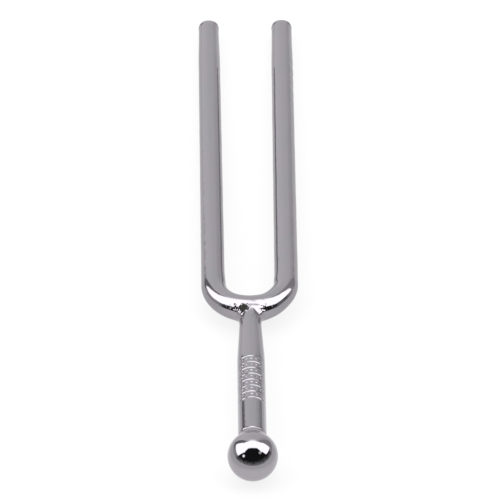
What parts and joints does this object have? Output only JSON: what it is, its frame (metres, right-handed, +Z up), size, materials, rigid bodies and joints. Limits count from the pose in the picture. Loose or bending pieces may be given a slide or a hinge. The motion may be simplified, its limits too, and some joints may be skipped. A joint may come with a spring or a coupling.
{
  "type": "tuning fork",
  "caption": "Chrome-plated round-bar tuning fork: a U of bent steel rod with two prongs, brazed to a turned stem that narrows to a neck and ends in a small ball.",
  "frame": {"origin": "On the surface that the fork lies on, under the middle of its bounding box.", "axes": "+Y runs from the ball to the prong tips, +X is to the right seen from above with the prongs pointing away, +Z is up, away from the surface. The fork lies on its ball and its two prong tips, so its own axis dips by 1.05 degrees towards +Y."},
  "size_m": [0.0176, 0.1216, 0.008],
  "materials": {
    "chrome_bar": "bright nickel and chrome plate over a drawn round bar, with faint draw lines and soft waviness",
    "chrome_stem": "bright plate over a turned stem, slightly softened, with a shallow engraved ornament",
    "chrome_ball": "mirror-bright plate over a polished ball",
    "plated_braze": "plated braze metal, smooth but lumpy, with fine pits"
  },
  "bodies": {
    "handle": {"yoke_bend": "chrome_bar", "stem": "chrome_stem", "ball_end": "chrome_ball", "braze_fillet": "plated_braze"},
    "left_prong_body": {"left_prong": "chrome_bar"},
    "right_prong_body": {"right_prong": "chrome_bar"}
  },
  "joints": [
    {"name": "left_flex", "type": "hinge", "parent": "handle", "child": "left_prong_body", "pos_m": [-0.00622, -0.01314, 0.00322], "axis": [0, 0.0179, 0.9998], "range_deg": [-0.4, 0.4], "stiffness_Nm_per_rad": 0.5},
    {"name": "right_flex", "type": "hinge", "parent": "handle", "child": "right_prong_body", "pos_m": [0.00622, -0.01314, 0.00322], "axis": [0, 0.0179, 0.9998], "range_deg": [-0.4, 0.4], "stiffness_Nm_per_rad": 0.5}
  ],
  "couplings": [
    {"joint": "right_flex", "follows": "left_flex", "ratio": -1}
  ]
}
